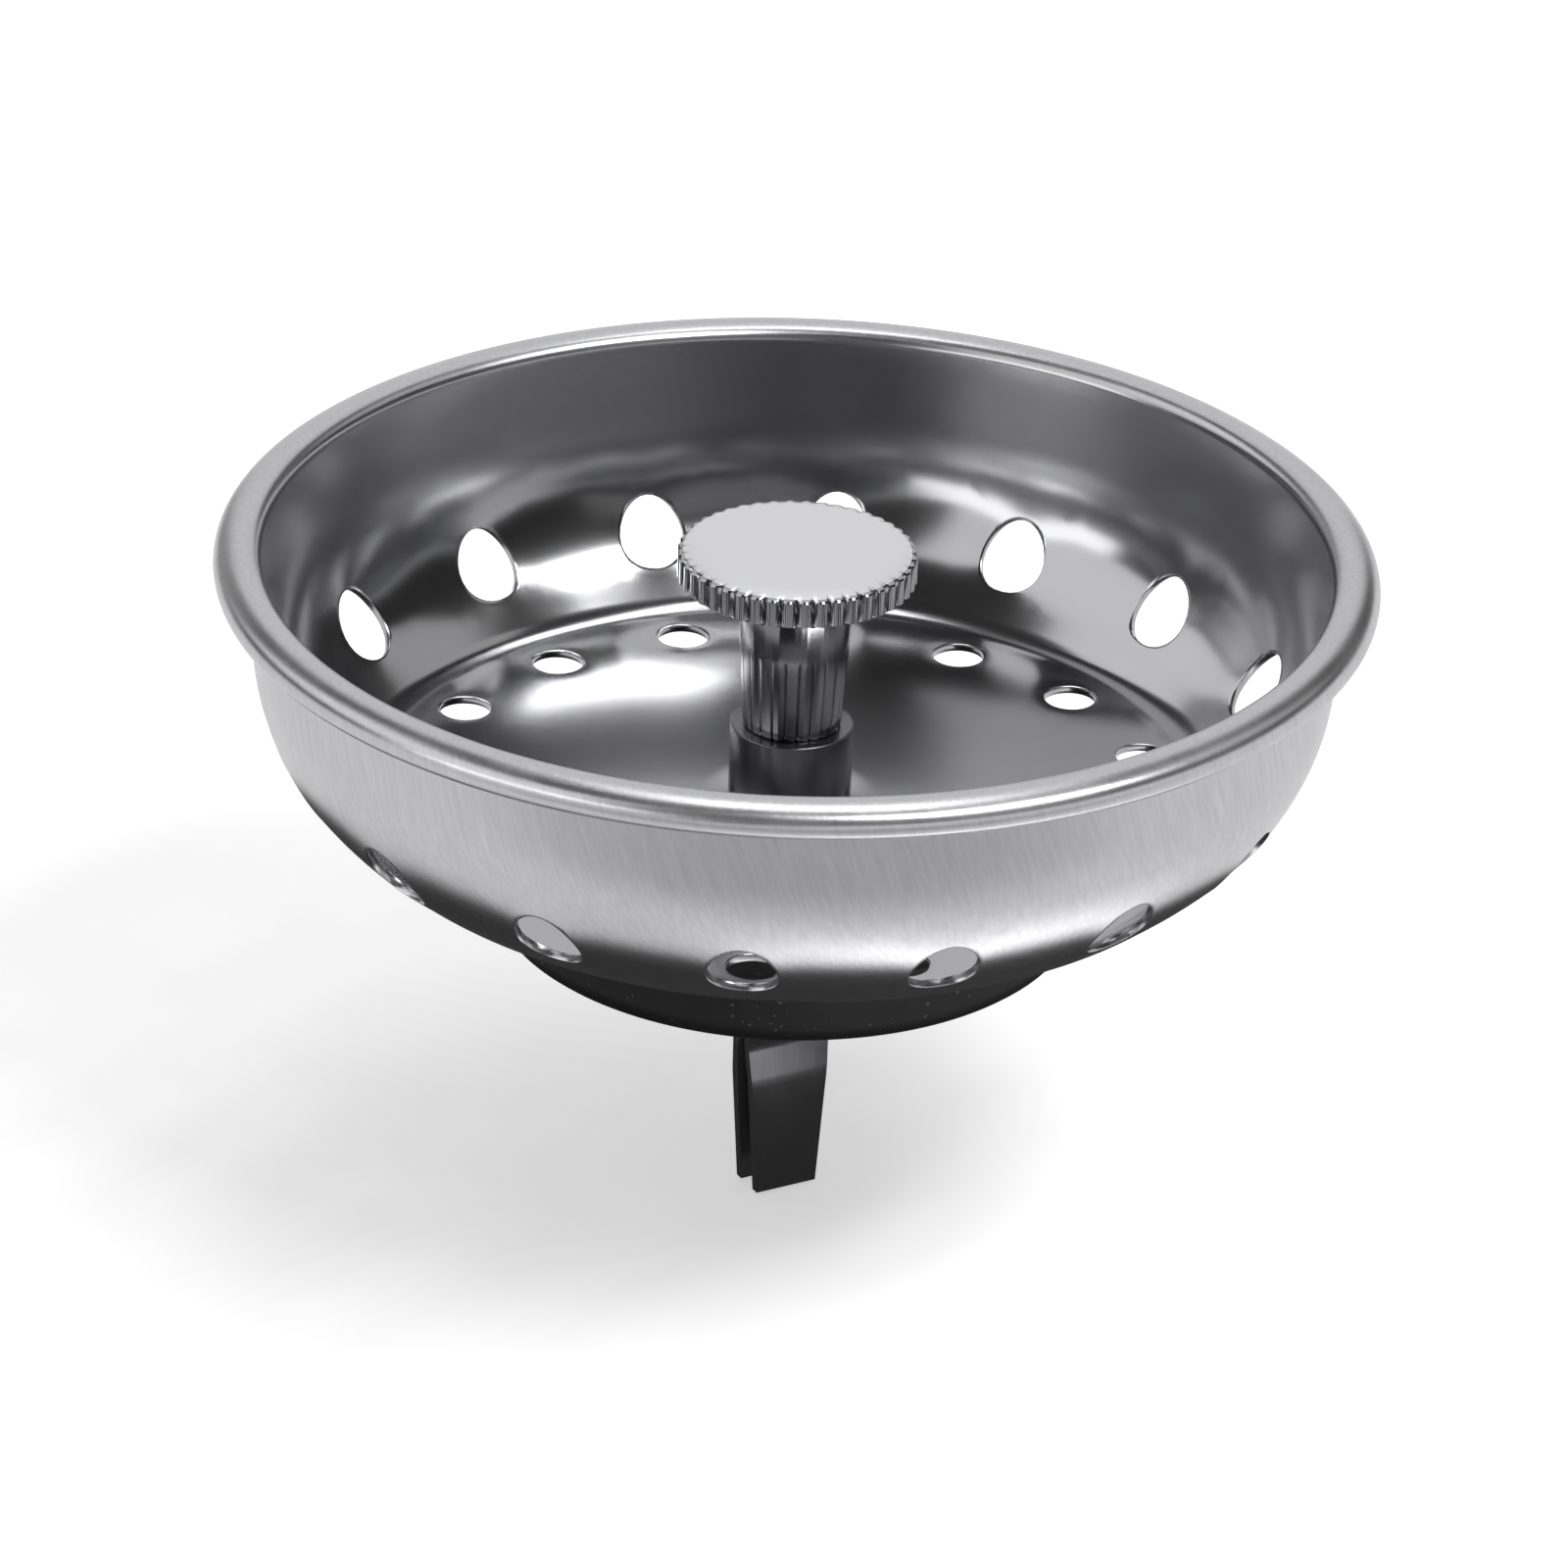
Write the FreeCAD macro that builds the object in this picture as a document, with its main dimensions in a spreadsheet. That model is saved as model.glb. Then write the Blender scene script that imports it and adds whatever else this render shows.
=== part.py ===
"""Kitchen-sink basket strainer: a sheet-metal bowl with a curled rim, clamped with its rubber stopper, backing
washer and two-legged spring clip between a hex-head screw below and a knurled knob above.

Millimetres and degrees, +Z up. The origin is the centre of the stopper's sealing face, on the drain's seat.
"""
import FreeCAD, Part
import Sketcher
import math
import os
import re

# Driving dimensions
SIZES = {
    # bowl: outside sizes of the sheet, with the corners of floor, shoulder and wall taken before rounding
    "rim_diameter": 82.5,
    "rim_overhang": 2.8,
    "bead_diameter": 2.3,
    "curl_turn": 240.0,
    "lip_radius": 0.6,
    "sheet_gauge": 0.6,
    "bowl_depth": 18.3,
    "shoulder_run": 7.55,
    "shoulder_slope": 40.0,
    "shoulder_radius": 14.7,
    "floor_corner_radius": 2.6,
    # drain holes, as many in the shoulder as in the floor
    "hole_count": 16,
    "shoulder_hole_width": 4.8,
    "shoulder_hole_length": 5.5,
    "shoulder_hole_tilt": 35.0,
    "floor_hole_diameter": 3.7,
    "floor_hole_inset": 4.25,
    # clamp screw and the radial play around it
    "screw_diameter": 4.0,
    "screw_clearance": 0.2,
    "thread_clearance": 0.05,
    "screw_tip_gap": 1.0,
    "screw_tip_chamfer": 0.4,
    "head_flats": 7.0,
    "head_height": 2.8,
    "head_clearance": 0.1,
    # post sleeve
    "sleeve_diameter": 8.8,
    "sleeve_length": 5.8,
    "sleeve_chamfer": 0.4,
    # knob
    "knob_diameter": 17.0,
    "knob_thickness": 2.5,
    "knob_bevel": 0.35,
    "neck_top_diameter": 8.4,
    "neck_bottom_diameter": 7.1,
    "neck_length": 11.25,
    "bore_depth": 8.0,
    "tooth_count": 44,
    "tooth_groove_radius": 0.45,
    "tooth_groove_depth": 0.35,
    "flute_count": 24,
    "flute_radius": 0.4,
    "flute_depth": 0.28,
    # rubber stopper and its backing washer
    "stopper_diameter": 42.8,
    "stopper_height": 8.7,
    "stopper_edge_radius": 2.0,
    "recess_diameter": 18.0,
    "recess_depth": 4.2,
    "washer_gauge": 1.0,
    "washer_clearance": 0.3,
    # spring clip: spreads are over the outsides of both legs, drops are heights from one bend to the next
    "strip_gauge": 0.7,
    "strip_bend_radius": 0.5,
    "clip_width": 8.0,
    "tail_width": 4.85,
    "hinge_drop": 0.7,
    "flex_gap": 0.1,
    "waist_spread": 2.35,
    "waist_drop": 9.0,
    "barb_spread": 3.1,
    "barb_drop": 3.0,
    "tail_length": 9.0,
}

# Radii, heights and angles that follow from the driving dimensions
PLACES = {
    "wall_radius": "rim_diameter / 2 - rim_overhang",
    "floor_radius": "wall_radius - shoulder_run",
    "floor_top": "stopper_height + sheet_gauge",
    "bead_radius": "bead_diameter / 2",
    "bead_circle": "rim_diameter / 2 - bead_radius",
    "bead_height": "floor_top + bowl_depth",
    "wall_top": "bead_height + bead_radius - lip_radius - sheet_gauge",
    "shoulder_corner": "stopper_height + shoulder_run * tan(shoulder_slope)",
    "shoulder_half_turn": "(90 - shoulder_slope) / 2",
    "slope_length": "shoulder_run / cos(shoulder_slope) - floor_corner_radius * tan(shoulder_slope / 2)",
    "shoulder_round": "min(shoulder_radius; 0.99 * slope_length / tan(shoulder_half_turn))",
    "shoulder_centre": "shoulder_corner + shoulder_round * tan(shoulder_half_turn)",
    "floor_hole_circle": "floor_radius - floor_hole_inset",
    "sleeve_top": "floor_top + sleeve_length",
    "disc_bottom": "sleeve_top + neck_length",
    "knob_top": "disc_bottom + knob_thickness",
    "neck_lean": "atan((neck_top_diameter - neck_bottom_diameter) / 2 / neck_length)",
    "screw_hole_radius": "screw_diameter / 2 + screw_clearance",
    "screw_tip": "sleeve_top + bore_depth - screw_tip_gap",
    "recess_radius": "recess_diameter / 2",
    "clip_top": "recess_depth - washer_gauge",
    "head_top": "clip_top - strip_gauge",
    "head_bottom": "head_top - head_height",
    "cheek_inside": "head_flats / 2 + head_clearance",
    "cheek_outside": "cheek_inside + strip_gauge",
    "hinge_offset": "cheek_inside + strip_gauge / 2",
    "hinge_height": "head_bottom - hinge_drop",
    "leg_top": "hinge_height + strip_gauge / 2",
    "waist_height": "hinge_height - waist_drop",
    "barb_height": "waist_height - barb_drop",
    "tail_end": "barb_height - tail_length",
}

ACROSS = FreeCAD.Vector(1, 0, 0)
AWAY = FreeCAD.Vector(0, 1, 0)
UP = FreeCAD.Vector(0, 0, 1)
MATCH = 1e-4


def named(expression):
    """The expression with every alias, a word with an underscore, read from the sheet that holds it."""
    def sheet_of(match):
        holder = "Sizes" if match.group() in SIZES else "Places"
        return f"{holder}.{match.group()}"

    return re.sub(r"[a-z]+(?:_[a-z]+)+", sheet_of, expression)


def fill_sheet(name, contents):
    sheet = doc.addObject("Spreadsheet::Sheet", name)
    for row, (alias, content) in enumerate(contents.items(), start=1):
        sheet.set(f"A{row}", alias)
        sheet.set(f"B{row}", content)
        sheet.setAlias(f"B{row}", alias)
    doc.recompute()
    return sheet


doc = FreeCAD.newDocument("basket_strainer")
fill_sheet("Sizes", {alias: str(value) for alias, value in SIZES.items()})
fill_sheet("Places", {alias: f"={named(formula)}" for alias, formula in PLACES.items()})
spare_sheet = fill_sheet("Spare", {})


def number(expression):
    """Present value of an expression, worked out in a spare cell, so that sketches are drawn to size."""
    spare_sheet.set("A1", f"={named(expression)}")
    spare_sheet.recompute()
    value = spare_sheet.get("A1")
    return float(getattr(value, "Value", value))


def point(across, up="0"):
    """Point of a sketch from the expressions of its two coordinates."""
    return FreeCAD.Vector(number(across), number(up))


def bind(feature, prop, expression):
    feature.setExpression(prop, named(expression))


def new_body(name):
    body = doc.addObject("PartDesign::Body", name)
    body.Label = name
    return body


def origin_feature(body, role):
    return next(item for item in body.Origin.OriginFeatures if item.Role == role)


def attach(feature, body, role):
    feature.AttachmentSupport = [(origin_feature(body, role), "")]
    feature.MapMode = "FlatFace"


def new_sketch(body, name, role="XZ_Plane"):
    sketch = body.newObject("Sketcher::SketchObject", name)
    attach(sketch, body, role)
    return sketch


def dimension(sketch, kind, *where, expression):
    """A driving dimension of a sketch, bound to the sheets."""
    value = number(expression)
    if kind == "Angle":
        value = math.radians(value)
    index = sketch.addConstraint(Sketcher.Constraint(kind, *where, value))
    bind(sketch, f"Constraints[{index}]", expression)


def place_point(sketch, edge, end, across, up):
    """Dimensions one end of an edge, or its centre, from the sketch's origin."""
    dimension(sketch, "DistanceX", -1, 1, edge, end, expression=across)
    dimension(sketch, "DistanceY", -1, 1, edge, end, expression=up)


def constrain(sketch, *rules):
    for rule in rules:
        sketch.addConstraint(Sketcher.Constraint(*rule))


def add_line(sketch, start, stop):
    return sketch.addGeometry(Part.LineSegment(start, stop))


def add_arc(sketch, centre, radius, start, stop):
    return sketch.addGeometry(Part.ArcOfCircle(Part.Circle(centre, UP, radius), start, stop))


def draw_polygon(sketch, corners):
    """A closed outline of straight lines, with both coordinates of every corner bound to the sheets."""
    spots = [point(across, up) for across, up in corners]
    lines = [add_line(sketch, start, stop) for start, stop in zip(spots, spots[1:] + spots[:1])]
    for line, following in zip(lines, lines[1:] + lines[:1]):
        constrain(sketch, ("Coincident", line, 2, following, 1))
    for line, (across, up) in zip(lines, corners):
        place_point(sketch, line, 1, across, up)


def draw_circle(sketch, across, radius):
    circle = sketch.addGeometry(Part.Circle(point(across), UP, number(radius)))
    dimension(sketch, "Radius", circle, expression=radius)
    place_point(sketch, circle, 3, across, "0")


def revolve(body, sketch):
    turned = body.newObject("PartDesign::Revolution", f"{sketch.Name}_turned")
    turned.Profile = sketch
    turned.ReferenceAxis = (sketch, ["V_Axis"])
    turned.Angle = 360.0
    doc.recompute()
    return turned


def check_cut(feature, volume_before):
    """A cut that misses the solid leaves its volume as it was."""
    doc.recompute()
    if feature.Shape.Volume > volume_before - MATCH:
        raise RuntimeError(f"{feature.Name} cuts nothing")


def pocket(body, sketch, depth=None, upward=False):
    """A cut of the sketch's outline: right through both ways, or to a depth on one side of its plane."""
    volume_before = body.Tip.Shape.Volume
    cut = body.newObject("PartDesign::Pocket", f"{sketch.Name}_cut")
    cut.Profile = sketch
    if depth is None:
        cut.Type = "ThroughAll"
        cut.SideType = "Symmetric"
    else:
        cut.Type = "Length"
        cut.Reversed = upward
        bind(cut, "Length", depth)
    body.Tip = cut
    check_cut(cut, volume_before)
    return cut


def around_axis(body, feature, count):
    """Equal copies of a feature about the Z axis."""
    ring = body.newObject("PartDesign::PolarPattern", f"{feature.Name}_ring")
    ring.Originals = [feature]
    ring.Axis = (origin_feature(body, "Z_Axis"), [""])
    ring.Angle = 360.0
    bind(ring, "Occurrences", count)
    body.Tip = ring
    doc.recompute()


def circles_at(feature, radius, height):
    """Names of a feature's circular edges about the Z axis at a radius and a height."""
    wanted = point(radius, height)
    names = []
    for i, edge in enumerate(feature.Shape.Edges, start=1):
        curve = edge.Curve
        if isinstance(curve, Part.Circle):
            found = FreeCAD.Vector(curve.Radius, curve.Center.z)
            if found.distanceToPoint(wanted) < MATCH:
                names.append(f"Edge{i}")
    return names


def round_edges(body, feature, edges, radius):
    fillet = body.newObject("PartDesign::Fillet", f"{feature.Name}_round")
    fillet.Base = (feature, edges)
    bind(fillet, "Radius", radius)
    body.Tip = fillet
    doc.recompute()
    return fillet


def turned_body(name, corners):
    body = new_body(name)
    sketch = new_sketch(body, f"{name}_profile")
    draw_polygon(sketch, corners)
    return body, revolve(body, sketch)


def make_rim(body):
    """Lip and curl: the sheet turns outwards over the wall and rolls down and back under itself."""
    sketch = new_sketch(body, "rim_profile")
    gauge, lip, bead = number("sheet_gauge"), number("lip_radius"), number("bead_radius")
    bend = point("wall_radius + lip_radius", "wall_top")
    centre = point("bead_circle", "bead_height")
    quarter = math.pi / 2
    end = quarter - math.radians(number("curl_turn"))
    spoke = FreeCAD.Vector(math.cos(end), math.sin(end))

    lip_over = add_arc(sketch, bend, lip + gauge, quarter, math.pi)
    flat_over = add_line(sketch, bend + AWAY * (lip + gauge), centre + AWAY * bead)
    curl_over = add_arc(sketch, centre, bead, end, quarter)
    cut_edge = add_line(sketch, centre + spoke * bead, centre + spoke * (bead - gauge))
    curl_under = add_arc(sketch, centre, bead - gauge, end, quarter)
    flat_under = add_line(sketch, centre + AWAY * (bead - gauge), bend + AWAY * lip)
    lip_under = add_arc(sketch, bend, lip, quarter, math.pi)
    seat = add_line(sketch, bend - ACROSS * lip, bend - ACROSS * (lip + gauge))
    constrain(
        sketch,
        ("Tangent", lip_over, 1, flat_over, 1),
        ("Tangent", flat_over, 2, curl_over, 2),
        ("Coincident", curl_over, 1, cut_edge, 1),
        ("Coincident", cut_edge, 2, curl_under, 1),
        ("Tangent", curl_under, 2, flat_under, 1),
        ("Tangent", flat_under, 2, lip_under, 1),
        ("Coincident", lip_under, 2, seat, 1),
        ("Coincident", seat, 2, lip_over, 2),
        ("Coincident", lip_over, 3, lip_under, 3),
        ("Coincident", curl_over, 3, curl_under, 3),
        ("Horizontal", lip_over, 3, seat, 1),
        ("Horizontal", flat_over),
        ("Horizontal", flat_under),
        ("Horizontal", seat),
        ("PointOnObject", curl_over, 3, cut_edge),
    )
    dimension(sketch, "Radius", lip_under, expression="lip_radius")
    dimension(sketch, "Radius", lip_over, expression="lip_radius + sheet_gauge")
    dimension(sketch, "Radius", curl_over, expression="bead_radius")
    dimension(sketch, "DistanceX", -1, 1, seat, 1, expression="wall_radius")
    dimension(sketch, "Angle", cut_edge, expression="270 - curl_turn")
    place_point(sketch, curl_over, 3, "bead_circle", "bead_height")
    revolve(body, sketch)


def make_shoulder_hole(body):
    """One long hole punched square to the shoulder, on the +X side. Its plane holds the shoulder's centre."""
    sketch = new_sketch(body, "shoulder_hole", "YZ_Plane")
    sketch.AttachmentOffset = FreeCAD.Placement(FreeCAD.Vector(), FreeCAD.Rotation(ACROSS, 1.0))
    bind(sketch, "AttachmentOffset.Base.y", "shoulder_centre")
    bind(sketch, "AttachmentOffset.Base.z", "wall_radius - shoulder_round")
    bind(sketch, "AttachmentOffset.Rotation.Angle", "shoulder_hole_tilt")
    half_straight = "(shoulder_hole_length - shoulder_hole_width) / 2"
    radius = number("shoulder_hole_width / 2")
    reach = number(half_straight)
    upper = add_arc(sketch, AWAY * reach, radius, 0, math.pi)
    lower = add_arc(sketch, AWAY * -reach, radius, math.pi, 2 * math.pi)
    left = add_line(sketch, AWAY * reach - ACROSS * radius, AWAY * -reach - ACROSS * radius)
    right = add_line(sketch, AWAY * -reach + ACROSS * radius, AWAY * reach + ACROSS * radius)
    upright = -2
    constrain(
        sketch,
        ("Tangent", upper, 2, left, 1),
        ("Tangent", left, 2, lower, 1),
        ("Tangent", lower, 2, right, 1),
        ("Tangent", right, 2, upper, 1),
        ("PointOnObject", upper, 3, upright),
        ("PointOnObject", lower, 3, upright),
        ("Vertical", left),
    )
    dimension(sketch, "Radius", upper, expression="shoulder_hole_width / 2")
    dimension(sketch, "DistanceY", -1, 1, upper, 3, expression=half_straight)
    dimension(sketch, "DistanceY", lower, 3, -1, 1, expression=half_straight)
    return pocket(body, sketch, depth="shoulder_round + 2 * sheet_gauge", upward=True)


def make_basket():
    body, solid = turned_body("basket_shell", [
        ("0", "stopper_height"),
        ("floor_radius", "stopper_height"),
        ("wall_radius", "shoulder_corner"),
        ("wall_radius", "wall_top"),
        ("0", "wall_top"),
    ])
    corner = circles_at(solid, "wall_radius", "shoulder_corner")
    shoulder = round_edges(body, solid, corner, "shoulder_round")
    corner = circles_at(shoulder, "floor_radius", "stopper_height")
    rounded = round_edges(body, shoulder, corner, "floor_corner_radius")
    mouth_height = number("wall_top")
    mouth = [
        f"Face{i}" for i, face in enumerate(rounded.Shape.Faces, start=1)
        if abs(face.CenterOfMass.z - mouth_height) < MATCH
    ]
    hollow = body.newObject("PartDesign::Thickness", "basket_sheet")
    hollow.Base = (rounded, mouth)
    hollow.Reversed = True
    bind(hollow, "Value", "sheet_gauge")
    check_cut(hollow, rounded.Shape.Volume)
    make_rim(body)
    screw_hole = new_sketch(body, "basket_screw_hole", "XY_Plane")
    draw_circle(screw_hole, "0", "screw_hole_radius")
    pocket(body, screw_hole)
    floor_hole = new_sketch(body, "floor_hole", "XY_Plane")
    draw_circle(floor_hole, "floor_hole_circle", "floor_hole_diameter / 2")
    around_axis(body, pocket(body, floor_hole), "hole_count")
    around_axis(body, make_shoulder_hole(body), "hole_count")
    # the holes stand half a pitch away from the X axis, so the clip faces the middle of a gap
    body.Placement = FreeCAD.Placement(FreeCAD.Vector(), FreeCAD.Rotation(UP, 1.0))
    bind(body, "Placement.Rotation.Angle", "180 / hole_count")
    return body


def make_knob():
    """Knurled disc on a fluted neck that narrows downwards, with a blind threaded bore from below."""
    body, _ = turned_body("knob", [
        ("0", "sleeve_top"),
        ("neck_bottom_diameter / 2", "sleeve_top"),
        ("neck_top_diameter / 2", "disc_bottom"),
        ("knob_diameter / 2 - knob_bevel", "disc_bottom"),
        ("knob_diameter / 2", "disc_bottom + knob_bevel"),
        ("knob_diameter / 2", "knob_top - knob_bevel"),
        ("knob_diameter / 2 - knob_bevel", "knob_top"),
        ("0", "knob_top"),
    ])
    groove = new_sketch(body, "tooth_groove", "XY_Plane")
    bind(groove, "AttachmentOffset.Base.z", "knob_top")
    draw_circle(groove, "knob_diameter / 2 - tooth_groove_depth + tooth_groove_radius", "tooth_groove_radius")
    around_axis(body, pocket(body, groove, depth="knob_thickness"), "tooth_count")
    # a flute leans with the neck's side, from just under the neck to just short of the disc
    volume_before = body.Tip.Shape.Volume
    flute = body.newObject("PartDesign::SubtractiveCylinder", "flute")
    attach(flute, body, "XY_Plane")
    flute.AttachmentOffset = FreeCAD.Placement(FreeCAD.Vector(), FreeCAD.Rotation(AWAY, 1.0))
    flute_foot = "neck_bottom_diameter / 2 - flute_depth + flute_radius * (1 - tan(neck_lean))"
    bind(flute, "AttachmentOffset.Base.x", flute_foot)
    bind(flute, "AttachmentOffset.Base.z", "sleeve_top - flute_radius")
    bind(flute, "AttachmentOffset.Rotation.Angle", "neck_lean")
    bind(flute, "Radius", "flute_radius")
    bind(flute, "Height", "neck_length")
    check_cut(flute, volume_before)
    around_axis(body, flute, "flute_count")
    bore = new_sketch(body, "knob_bore", "XY_Plane")
    bind(bore, "AttachmentOffset.Base.z", "sleeve_top")
    draw_circle(bore, "0", "screw_diameter / 2 + thread_clearance")
    pocket(body, bore, depth="bore_depth", upward=True)
    return body


def make_sleeve():
    body, _ = turned_body("post_sleeve", [
        ("screw_hole_radius", "floor_top"),
        ("sleeve_diameter / 2", "floor_top"),
        ("sleeve_diameter / 2", "sleeve_top - sleeve_chamfer"),
        ("sleeve_diameter / 2 - sleeve_chamfer", "sleeve_top"),
        ("screw_hole_radius", "sleeve_top"),
    ])
    return body


def make_stopper():
    """Thick rubber disc with a recess below for the washer, the clip's top and the screw's head."""
    body, solid = turned_body("rubber_stopper", [
        ("recess_radius", "0"),
        ("stopper_diameter / 2", "0"),
        ("stopper_diameter / 2", "stopper_height"),
        ("screw_hole_radius", "stopper_height"),
        ("screw_hole_radius", "recess_depth"),
        ("recess_radius", "recess_depth"),
    ])
    lower_edge = circles_at(solid, "stopper_diameter / 2", "0")
    round_edges(body, solid, lower_edge, "stopper_edge_radius")
    return body


def make_washer():
    body, _ = turned_body("backing_washer", [
        ("screw_hole_radius", "clip_top"),
        ("recess_radius - washer_clearance", "clip_top"),
        ("recess_radius - washer_clearance", "recess_depth"),
        ("screw_hole_radius", "recess_depth"),
    ])
    return body


def make_screw():
    """Hex head with two flats against the clip's cheeks, and a plain shank of the thread's outer diameter."""
    head = doc.addObject("Part::Prism", "screw_head")
    head.Polygon = 6
    bind(head, "Circumradius", "head_flats / 2 / cos(30)")
    bind(head, "Height", "head_height")
    bind(head, "Placement.Base.z", "head_bottom")
    shank = doc.addObject("Part::Cylinder", "screw_shank")
    bind(shank, "Radius", "screw_diameter / 2")
    bind(shank, "Height", "screw_tip - screw_tip_chamfer - head_top")
    bind(shank, "Placement.Base.z", "head_top")
    tip = doc.addObject("Part::Cone", "screw_end")
    bind(tip, "Radius1", "screw_diameter / 2")
    bind(tip, "Radius2", "screw_diameter / 2 - screw_tip_chamfer")
    bind(tip, "Height", "screw_tip_chamfer")
    bind(tip, "Placement.Base.z", "screw_tip - screw_tip_chamfer")
    screw = doc.addObject("Part::MultiFuse", "clamp_screw")
    screw.Label = "clamp_screw"
    screw.Shapes = [head, shank, tip]
    screw.Refine = True
    return screw


def pad_across(body, sketch):
    """Gives a side view of the clip, drawn in the YZ plane, the strip's full width along X."""
    strip = body.newObject("PartDesign::Pad", f"{sketch.Name}_strip")
    strip.Profile = sketch
    strip.SideType = "Symmetric"
    bind(strip, "Length", "clip_width")
    doc.recompute()
    return strip


def make_bridge():
    """Flat top of the clip, held under the screw's head, with a cheek bent down on each side of the head."""
    body = new_body("clip_bridge")
    sketch = new_sketch(body, "bridge_side", "YZ_Plane")
    cheek_end = "leg_top + flex_gap"
    draw_polygon(sketch, [
        ("-cheek_outside", cheek_end),
        ("-cheek_inside", cheek_end),
        ("-cheek_inside", "head_top"),
        ("cheek_inside", "head_top"),
        ("cheek_inside", cheek_end),
        ("cheek_outside", cheek_end),
        ("cheek_outside", "clip_top"),
        ("-cheek_outside", "clip_top"),
    ])
    strip = pad_across(body, sketch)
    wanted = point("cheek_outside", "clip_top")
    bends = []
    for i, edge in enumerate(strip.Shape.Edges, start=1):
        middle = edge.CenterOfMass
        if FreeCAD.Vector(abs(middle.y), middle.z).distanceToPoint(wanted) < MATCH:
            bends.append(f"Edge{i}")
    round_edges(body, strip, bends, "strip_bend_radius")
    hole = new_sketch(body, "bridge_screw_hole", "XY_Plane")
    draw_circle(hole, "0", "screw_hole_radius")
    pocket(body, hole)
    return body


def make_leg(name, side):
    """One leg of the clip, on the -Y or +Y side: in to the waist, out to the barb, then straight down.

    Its top is rounded about the line on which it flexes, and it narrows evenly to its tail.
    """
    body = new_body(name)
    sketch = new_sketch(body, f"{name}_side", "YZ_Plane")
    bends = [("waist_spread", "waist_height"), ("barb_spread", "barb_height"), ("barb_spread", "tail_end")]
    outside = [(f"{side} * {spread} / 2", height) for spread, height in bends]
    inside = [(f"{side} * ({spread} / 2 - strip_gauge)", height) for spread, height in reversed(bends)]
    hinge = point(f"{side} * hinge_offset", "hinge_height")
    radius = number("strip_gauge / 2")
    spots = [point(across, up) for across, up in outside + inside]
    path = [hinge + ACROSS * (side * radius), *spots, hinge - ACROSS * (side * radius)]
    crown = add_arc(sketch, hinge, radius, 0, math.pi)
    lines = [add_line(sketch, start, stop) for start, stop in zip(path, path[1:])]
    crown_outside, crown_inside = (1, 2) if side > 0 else (2, 1)
    constrain(
        sketch,
        ("Tangent", crown, crown_outside, lines[0], 1),
        ("Tangent", lines[-1], 2, crown, crown_inside),
        *[("Coincident", line, 2, following, 1) for line, following in zip(lines, lines[1:])],
    )
    for line, (across, up) in zip(lines[1:], outside + inside):
        place_point(sketch, line, 1, across, up)
    dimension(sketch, "Radius", crown, expression="strip_gauge / 2")
    place_point(sketch, crown, 3, f"{side} * hinge_offset", "hinge_height")
    pad_across(body, sketch)
    taper = new_sketch(body, f"{name}_taper")
    for edge in (-1, 1):
        draw_polygon(taper, [
            (f"{edge} * clip_width / 2", "leg_top"),
            (f"{edge} * clip_width", "leg_top"),
            (f"{edge} * clip_width", "tail_end"),
            (f"{edge} * tail_width / 2", "tail_end"),
        ])
    pocket(body, taper)
    return body


parts = [
    make_basket(),
    make_knob(),
    make_sleeve(),
    make_stopper(),
    make_washer(),
    make_screw(),
    make_bridge(),
    make_leg("clip_leg_front", -1),
    make_leg("clip_leg_rear", 1),
]
doc.recompute()

for item in doc.Objects:
    if "Invalid" in item.State or "Error" in item.State:
        raise RuntimeError(f"{item.Name} did not recompute: {item.State}")
for part in parts:
    shape = part.Shape
    if shape.isNull() or not shape.isValid() or len(shape.Solids) != 1:
        raise RuntimeError(f"{part.Label} is not one valid solid")

os.makedirs("parts", exist_ok=True)
for part in parts:
    part.Shape.exportStep(os.path.join("parts", f"{part.Label}.step"))
    box = part.Shape.optimalBoundingBox(False, False)
    print(f"{part.Label}: {part.Shape.Volume:.2f} mm3, {box.XLength:.2f} x {box.YLength:.2f} mm, "
          f"Z {box.ZMin:.2f} to {box.ZMax:.2f} mm")
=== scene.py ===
# %% [markdown]
# # A sink basket strainer
# The real thing is a bowl drawn from thin stainless sheet, with a curled rim and two rings of punched
# holes. A screw clamps a rubber stopper and a sprung clip under it, and a knurled knob on a post above it.
# The CAD model of those pieces is the fixed frame here. Each CAD node is replaced by a finer mesh in the
# same place, so nothing has to be fitted: the frame is in metres, and its origin is under the stopper.

# %% Load the frame
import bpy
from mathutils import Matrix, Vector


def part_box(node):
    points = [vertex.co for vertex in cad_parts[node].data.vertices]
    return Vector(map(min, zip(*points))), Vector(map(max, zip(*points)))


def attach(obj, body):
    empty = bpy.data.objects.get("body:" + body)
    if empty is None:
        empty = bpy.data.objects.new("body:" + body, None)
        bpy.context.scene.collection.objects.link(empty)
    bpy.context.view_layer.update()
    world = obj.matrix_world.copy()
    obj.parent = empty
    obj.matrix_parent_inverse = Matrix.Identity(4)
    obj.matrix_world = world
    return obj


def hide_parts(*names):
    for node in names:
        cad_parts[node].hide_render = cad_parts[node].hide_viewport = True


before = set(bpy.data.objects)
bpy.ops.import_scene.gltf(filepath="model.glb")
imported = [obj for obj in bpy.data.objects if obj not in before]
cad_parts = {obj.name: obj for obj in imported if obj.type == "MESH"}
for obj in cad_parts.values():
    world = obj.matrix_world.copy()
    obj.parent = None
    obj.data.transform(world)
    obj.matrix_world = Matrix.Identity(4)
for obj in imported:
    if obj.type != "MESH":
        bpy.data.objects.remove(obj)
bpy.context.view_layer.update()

import math

import bmesh
import bpy
from mathutils import Quaternion, Vector

MM = 0.001
bpy.ops.object.select_all(action="DESELECT")

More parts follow.
